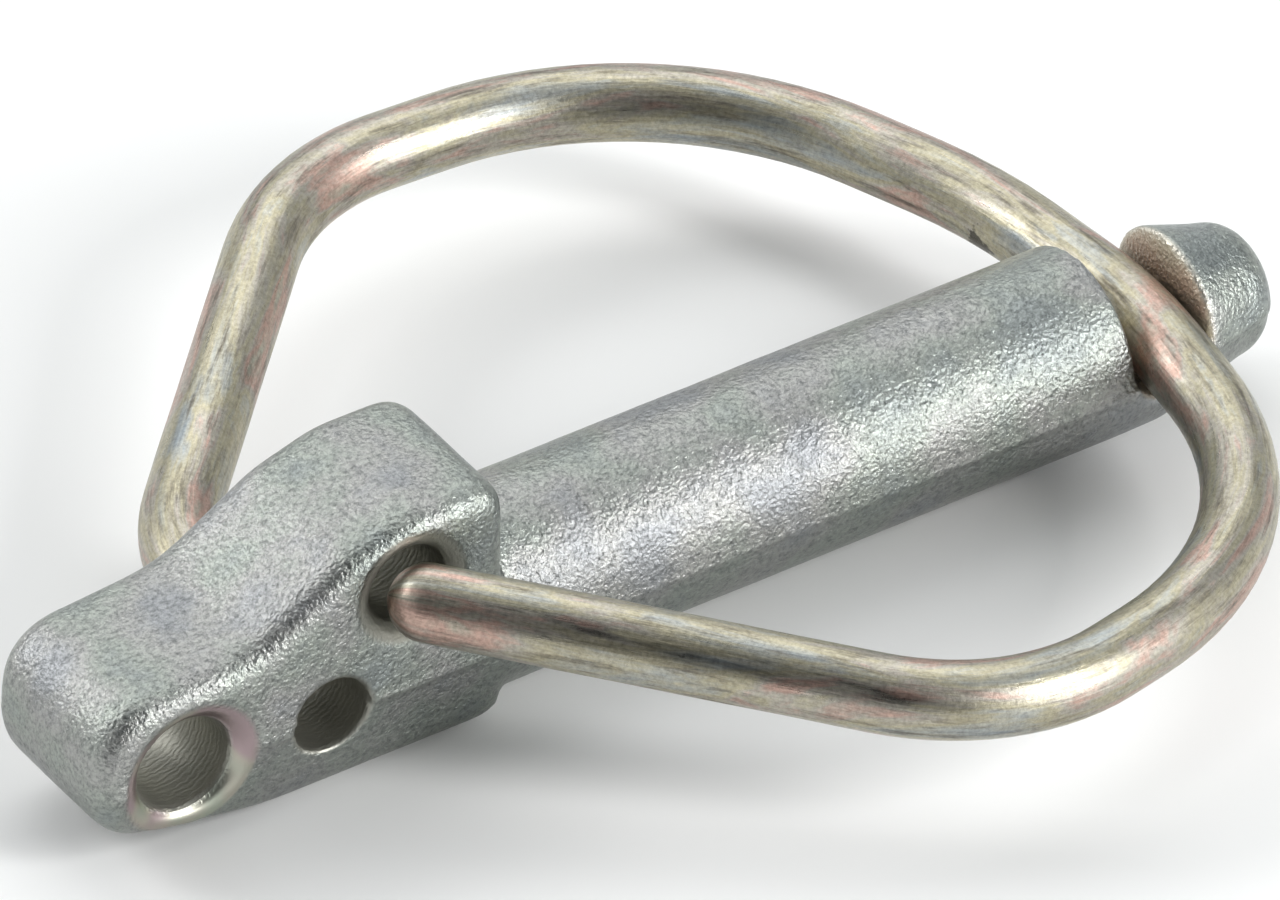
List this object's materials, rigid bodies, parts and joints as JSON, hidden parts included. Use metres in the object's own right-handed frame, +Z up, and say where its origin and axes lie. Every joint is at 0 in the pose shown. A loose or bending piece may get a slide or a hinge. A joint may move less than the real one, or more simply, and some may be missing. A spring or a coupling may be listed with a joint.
{
  "type": "lynch pin",
  "caption": "Lynch pin: a forged steel pin with a humped flat-sided head and a notched tapered nose, locked across the nose by a hinged spring-wire ring.",
  "frame": {"origin": "on the shank's axis at the head's shoulder", "axes": "+X along the shank to the nose, +Z up to the side of the hump and the notch"},
  "size_m": [0.0829, 0.0679, 0.0176],
  "materials": {
    "plated_forging": "zinc plated over an orange-peel forged skin",
    "plated_wire": "zinc plated drawn wire with a warm passivated tint"
  },
  "bodies": {
    "pin": {"forged_pin": "plated_forging"},
    "ring": {"wire_ring": "plated_wire"}
  },
  "joints": [
    {"name": "ring_hinge", "type": "hinge", "parent": "pin", "child": "ring", "pos_m": [-0.00665, -0.0073, 0.0068], "axis": [0.3305, -0.849, 0.4124], "range_deg": [0, 150]}
  ]
}
